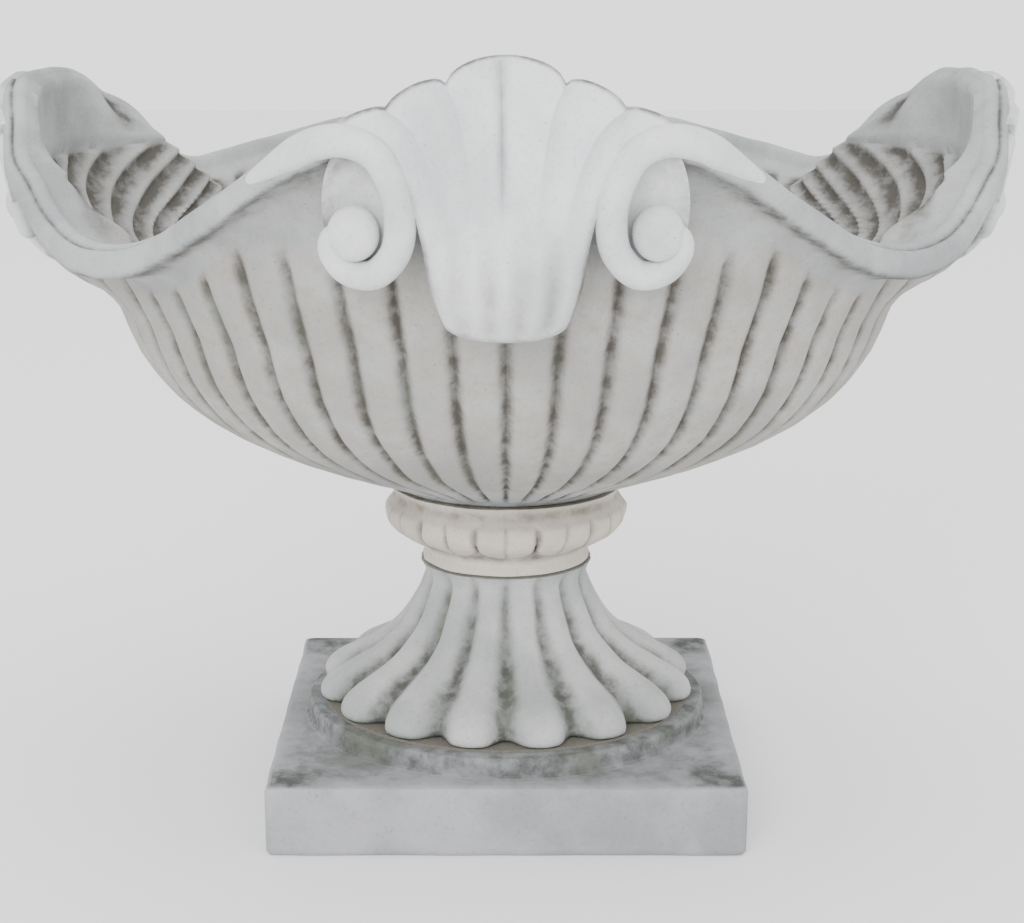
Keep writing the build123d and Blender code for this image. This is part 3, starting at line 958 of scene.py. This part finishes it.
    def bulb(self, lobe: LobeOrnament) -> Surface:
        """Flat ellipsoid in the eye of the scroll: latitude loops with shrunken ends.

        Args:
            lobe: Sizes of the ornament.
        Returns:
            The closed bulb.
        """
        middle_x, middle_z = 86 * lobe.scroll, lobe.sized(452, lobe.scroll)
        wide, deep, high = 15 * lobe.scroll, 11 * lobe.scroll, 16 * lobe.scroll
        lat = np.linspace(-math.pi / 2 * 0.995, math.pi / 2 * 0.995, 25)[:, None]
        lon = np.linspace(0, 2 * math.pi, 32, endpoint=False)[None, :]
        radius = float(self.face(np.array([middle_z]))[0]) - (lobe.coil_sunk + 0.5)
        x = middle_x + wide * np.cos(lat) * np.cos(lon)
        y = -math.sqrt(radius**2 - middle_x**2) + deep * np.cos(lat) * np.sin(lon)
        z = middle_z + high * np.sin(lat) + 0 * lon
        return Surface.rings(np.stack([x, y, z], -1), 0.1 + 0 * x, 0.2 + 0 * x, ends=True)

    def ornament(self, lobe: LobeOrnament) -> list[Surface]:
        """Palmette and two scrolls of one lobe, in place."""
        scroll = self.scroll(lobe)
        return [s.turned(lobe.azimuth) for s in (self.palmette(lobe), scroll, scroll.mirrored())]

    def build(self, ribbed: bpy.types.Material, carved_stone: bpy.types.Material) -> list[bpy.types.Object]:
        """Two objects: the shell, and the palmettes and scrolls of its four lobes.

        Args:
            ribbed: Finish of the shell.
            carved_stone: Finish of the ornament, paler than the shell: washed by rain and brightened with
                painted light.
        Returns:
            The shell and the ornament.
        """
        carved = [surface for lobe in ORNAMENTS for surface in self.ornament(lobe)]
        return [self.shell().to_object("bowl_ribbed_shell", ribbed, 60.0),
                Surface.joined(carved).to_object("bowl_palmettes_and_scrolls", carved_stone, 60.0)]


# Foot, collar and plinth


@dataclass
class Foot:
    """Trumpet foot with broad rounded ridges between hollows that widen downwards."""

    flutes: int = 16
    columns: int = 512
    bottom: float = 66.0
    top: float = 167.0
    hole_radius: float = 12.0
    side: Curve = curve(
        (134, 66), (138.5, 68), (139.5, 73), (137, 79), (129, 86), (116, 93), (102, 100.5), (90, 109),
        (78, 121), (69, 135), (63, 148), (60, 157), (61, 163), (63, 167))

    def build(self, material: bpy.types.Material) -> bpy.types.Object:
        """Profile turned about the axis, less depth(z) times a hollow wave of the azimuth.

        Args:
            material: Finish of the stone.
        Returns:
            The object.
        """
        azimuth = np.linspace(0, 2 * math.pi, self.columns, endpoint=False)[None, :]
        path = path_through(self.side, 72)
        r, z = path[:, :1], path[:, 1:]
        q = zigzag(azimuth, self.flutes)
        start = np.interp(z, [66, 90, 120, 150, 167], [0.30, 0.22, 0.30, 0.42, 0.5])
        hollow = smoothstep(0.0, 1.0, np.clip((q - start) / (1.0 - start), 0, 1))
        crown = np.clip(q / start, 0, 1) ** 2 * 0.12
        deep = np.interp(z, [66, 74, 90, 110, 135, 157, 165, 167], [15, 16, 16, 12, 7, 4.0, 1.5, 0.6])
        # Painted shade in the hollows between the ridges, weaker higher up, with dirt
        dirt_and_shade = 0.05 + 0.85 * hollow**1.5 * np.interp(z, [66, 100, 150, 167], [1.0, 0.9, 0.6, 0.3])
        # Painted shade and dirt along the bottom, where the foot meets the seat disc
        dirt_and_shade = dirt_and_shade + 0.5 * (1 - smoothstep(66, 72, z))
        points = around(r - deep * (hollow + crown), azimuth, z + 0 * azimuth)
        points += 0.5 * waver(points, 40.0, 11)[..., None] * np.array([1, 1, 0.0])
        hole = self.hole_radius
        rest = lathe([(60, self.top), (30, self.top), (hole, self.top), (hole, 120), (hole, self.bottom),
                      (60, self.bottom), (115, self.bottom)], azimuth)
        points = np.concatenate([points, rest])
        dirt_and_shade = np.concatenate([dirt_and_shade, np.full(rest.shape[:2], 0.4)])
        return Surface.rings(points, dirt_and_shade, np.full_like(dirt_and_shade, 0.2)).to_object("foot_weathered", material)


@dataclass
class Collar:
    """Swelling collar wrapped in short leaves that curl over its bulge."""

    leaves: int = 12
    columns: int = 480
    bottom: float = 169.0
    top: float = 224.0
    hole_radius: float = 12.0
    side: Curve = curve(
        (61, 169), (61.5, 173), (63, 178), (68, 183), (76, 188), (83, 193), (87, 199), (88, 205),
        (87, 210), (83.5, 214), (82, 217), (83, 220.5), (84, 224))

    def build(self, material: bpy.types.Material) -> bpy.types.Object:
        """Profile turned about the axis; leaves are raised where z lies above a scalloped edge.

        Args:
            material: Finish of the stone.
        Returns:
            The object.
        """
        azimuth = np.linspace(0, 2 * math.pi, self.columns, endpoint=False)[None, :]
        path = path_through(self.side, 72)
        r, z = path[:, :1], path[:, 1:]
        q = zigzag(azimuth, self.leaves)
        edge = 184.0 + 12.0 * (1 - np.sqrt(np.clip(1 - (1 - q) ** 2, 0, 1)))
        leaf = smoothstep(-2.0, 2.0, z - edge) * (1 - smoothstep(208, 214, z))
        vein = np.exp(-((1 - q) / 0.07) ** 2) * leaf
        split = np.exp(-(q / 0.10) ** 2) * smoothstep(186, 196, z) * (1 - smoothstep(206, 214, z))
        ground = 3.5 * (leaf - 1) * smoothstep(170, 178, z) * (1 - smoothstep(206, 214, z))
        under = (1 - leaf) * smoothstep(176, 184, z) * (1 - smoothstep(205, 213, z))
        # Painted shade in the splits between the leaves, along the veins and under the leaf tips, over a
        # little dirt
        dirt_and_shade = 0.12 + 0.5 * split + 0.35 * vein + 0.45 * under
        # Painted shade in a band just under the bowl's seat
        dirt_and_shade = dirt_and_shade + 0.35 * np.exp(-((z - 218) / 4.0) ** 2)
        points = around(r + (ground - 1.6 * vein - 4.5 * split), azimuth, z + 0 * azimuth)
        points += 0.8 * waver(points, 26.0, 21)[..., None] * np.array([1, 1, 0.0])
        hole = self.hole_radius
        rest = lathe([(40, self.top), (hole, self.top), (hole, 196), (hole, self.bottom), (40, self.bottom),
                      (58, self.bottom)], azimuth)
        points = np.concatenate([points, rest])
        dirt_and_shade = np.concatenate([dirt_and_shade + 0 * azimuth, np.full(rest.shape[:2], 0.4)])
        return Surface.rings(points, dirt_and_shade, np.full_like(dirt_and_shade, 0.8)).to_object("collar_weathered", material)


@dataclass
class Plinth:
    """Square slab with softened edges, a round seat disc on top and a nut recess below."""

    side: float = 330.0
    height: float = 50.0
    disc_radius: float = 147.0
    disc_top: float = 64.0
    hole_radius: float = 12.0
    recess_radius: float = 30.0
    recess_depth: float = 18.0
    columns: int = 720

    def square(self, azimuth: Array, half: Array, corner: float) -> Array:
        """Radius of a square with rounded corners at each azimuth.

        Args:
            azimuth: Azimuths in radians.
            half: Half side lengths.
            corner: Corner radius.
        Returns:
            Distance from the axis: to the flat side, or to the corner's arc near the diagonal.
        """
        a = np.abs((azimuth + math.pi / 4) % (math.pi / 2) - math.pi / 4)
        flat = half / np.cos(a)
        c = half - corner
        turn = math.pi / 4 - a
        reach = c * math.sqrt(2) * np.cos(turn)
        arc = reach + np.sqrt(np.clip(corner**2 - 2 * (c * np.sin(turn)) ** 2, 0, None))
        return np.where(flat * np.sin(a) > c, arc, flat)

    def build(self, material: bpy.types.Material) -> bpy.types.Object:
        """Loops from the recess out under the slab, up its sides, in over the top and down the hole.

        Args:
            material: Finish of the stone.
        Returns:
            The object.
        """
        azimuth = np.linspace(0, 2 * math.pi, self.columns, endpoint=False) + math.pi / self.columns
        h, half = self.height, self.side / 2
        edge = [(-6, 0), (-1.5, 0.6), (0, 3)] + [(0, z) for z in np.linspace(6, h - 6, 12)]
        edge += [(0, h - 4.0), (-1.0, h - 1.3), (-4, h)]
        loops = [(self.recess_radius + 0 * azimuth, self.recess_depth, 0.3, 0.0),
                 (self.recess_radius + 0 * azimuth, 0.0, 0.3, 0.0)]
        loops += [(self.square(azimuth, half + d, 4.0), z, 0.1, 1.0) for d, z in edge]
        disc = self.disc_radius
        for share in np.linspace(0.12, 0.97, 16):
            square = self.square(azimuth, half - 4.0, 4.0)
            loops.append((square + (disc + 2 - square) * share, h, 0.35, 1.0))
        rise = [(1.5, 0.3), (0.2, 1.5), (0, 5), (0, 9), (-0.4, 11.5), (-2, 13.5), (-5, 14)]
        loops += [(disc + out + 0 * azimuth, h + up, 0.6, 1.0) for out, up in rise]
        loops += [(r + 0 * azimuth, self.disc_top, 0.55, 0.0) for r in (138, 130, 100, 60, self.hole_radius)]
        loops.append((self.hole_radius + 0 * azimuth, self.recess_depth, 0.5, 0.0))
        radius = np.stack([item[0] for item in loops])
        height = np.stack([item[1] + 0 * azimuth for item in loops])
        dirt_and_shade = np.stack([item[2] + 0 * azimuth for item in loops])
        free = np.array([item[3] for item in loops])[:, None, None]
        points = around(radius, azimuth[None, :], height)
        worn = waver(points, 60.0, 31)[..., None]
        points += 0.5 * free * worn * np.array([1.0, 1.0, 0.0])
        edge_up = (np.abs(height - h) < 0.5) & (radius > disc + 4)
        x, y = np.abs(points[..., 0]), np.abs(points[..., 1])
        corner = smoothstep(105, 165, np.minimum(x, y))
        dirt_and_shade = np.where(edge_up, 0.42 + 0.5 * corner, dirt_and_shade)
        near = smoothstep(24, 0, half - np.maximum(x, y))
        dirt_and_shade = np.where(edge_up, dirt_and_shade * (1 - 0.5 * near * (1 - corner)), dirt_and_shade)
        made = Surface.rings(points, dirt_and_shade, np.full_like(dirt_and_shade, 0.1))
        return made.to_object("plinth_weathered", material, 40.0)


# Scene


@dataclass
class Studio:
    """Pale floor, soft lights and the camera at the photograph's height and pitch, in metres.

    Each lamp is its name, place, width and power.
    """

    camera_place: tuple[float, float, float] = (0.0, -1.577, 0.623)
    pitch: float = 13.7
    lens: float = 77.9
    shift: float = 0.006
    floor_half: float = 6.0
    glow: float = 1.9
    lamps: tuple[tuple, ...] = (
        ("key", (-0.6, -2.4, 1.5), 1.0, 40.0),
        ("fill", (1.6, -1.3, 1.2), 1.6, 4.0),
        ("top", (0.2, 0.7, 2.4), 1.6, 6.0),
    )

    def floor(self) -> None:
        """Adds the painted floor."""
        mesh = bpy.data.meshes.new("floor")
        w = self.floor_half
        mesh.from_pydata([(-w, -w, 0), (w, -w, 0), (w, w, 0), (-w, w, 0)], [], [(0, 1, 2, 3)])
        floor = bpy.data.objects.new("floor", mesh)
        bpy.context.scene.collection.objects.link(floor)
        paint = empty_material("studio_floor_paint")
        shader = node(paint.node_tree, "ShaderNodeBsdfPrincipled",
                      {"Base Color": linear("#f4f4f4"), "Roughness": 0.95})
        node(paint.node_tree, "ShaderNodeOutputMaterial", {"Surface": shader})
        mesh.materials.append(paint)

    def world(self) -> None:
        """Adds the white surroundings."""
        world = bpy.data.worlds.new("studio")
        world.use_nodes = True
        background = world.node_tree.nodes["Background"]
        background.inputs["Color"].default_value = (1.0, 1.0, 1.0, 1.0)
        background.inputs["Strength"].default_value = self.glow
        bpy.context.scene.world = world

    def lamp(self, name: str, place: tuple[float, float, float], width: float, power: float) -> None:
        """Adds one square lamp that looks at the vase's middle.

        Args:
            name: Object name.
            place: Where it hangs.
            width: Its side.
            power: Its power in watts.
        """
        data = bpy.data.lights.new(name, "AREA")
        data.energy, data.size = power, width
        lamp = bpy.data.objects.new(name, data)
        lamp.location = place
        aim = np.array([0.0, 0.0, 0.3]) - np.array(place)
        yaw, tilt = math.atan2(aim[0], -aim[1]), math.acos(-aim[2] / np.linalg.norm(aim))
        lamp.rotation_euler = (tilt, 0.0, yaw + math.pi)
        bpy.context.scene.collection.objects.link(lamp)

    def camera(self) -> None:
        """Adds the camera."""
        data = bpy.data.cameras.new("camera")
        data.lens, data.sensor_width, data.shift_x = self.lens, 36.0, self.shift
        camera = bpy.data.objects.new("camera", data)
        camera.location = self.camera_place
        camera.rotation_euler = (math.radians(90.0 - self.pitch), 0.0, 0.0)
        bpy.context.scene.collection.objects.link(camera)
        bpy.context.scene.camera = camera

    def build(self) -> None:
        """Adds floor, world, lights and camera."""
        self.floor()
        self.world()
        for lamp in self.lamps:
            self.lamp(*lamp)
        self.camera()


def place(made: bpy.types.Object, slot: Slot, *nodes: str) -> None:
    """Lets a new piece ride on the one body and stand for CAD nodes.

    Args:
        made: The new piece.
        slot: Its material slot; not used.
        nodes: Names of the CAD nodes that it replaces.
    """
    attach(made, "root")
    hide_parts(*nodes)
    log.info("%s: %d faces", made.name, len(made.data.polygons))


def main() -> None:
    """Loads the frame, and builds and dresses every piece."""
    logging.basicConfig(level=logging.INFO, format="%(name)s: %(message)s")
    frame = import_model()
    materials = {slot: finish.build() for slot, finish in FINISHES.items()}
    Studio().build()
    for piece in Bowl().build(materials[Slot.BOWL], WASHED_AND_LIT.build()):
        place(piece, Slot.BOWL, "bowl")
    place(Collar().build(materials[Slot.COLLAR]), Slot.COLLAR, "collar")
    place(Foot().build(materials[Slot.FOOT]), Slot.FOOT, "foot")
    place(Plinth().build(materials[Slot.PLINTH]), Slot.PLINTH, "plinth")
    kept = {
        "mortar_bed_plinth": Slot.MORTAR, "mortar_bed_collar": Slot.MORTAR, "mortar_bed_bowl": Slot.MORTAR,
        "drain_tie_tube": Slot.STEEL, "top_washer": Slot.STEEL, "bottom_washer": Slot.STEEL,
        "top_backnut": Slot.STEEL, "bottom_backnut": Slot.STEEL, "top_seal": Slot.RUBBER,
    }
    for name, slot in kept.items():
        piece = frame["nodes"][name]
        piece.data.materials.clear()
        piece.data.materials.append(materials[slot])
        log.info("%s: kept with %s", name, materials[slot].name)


if __name__ == "__main__":
    main()
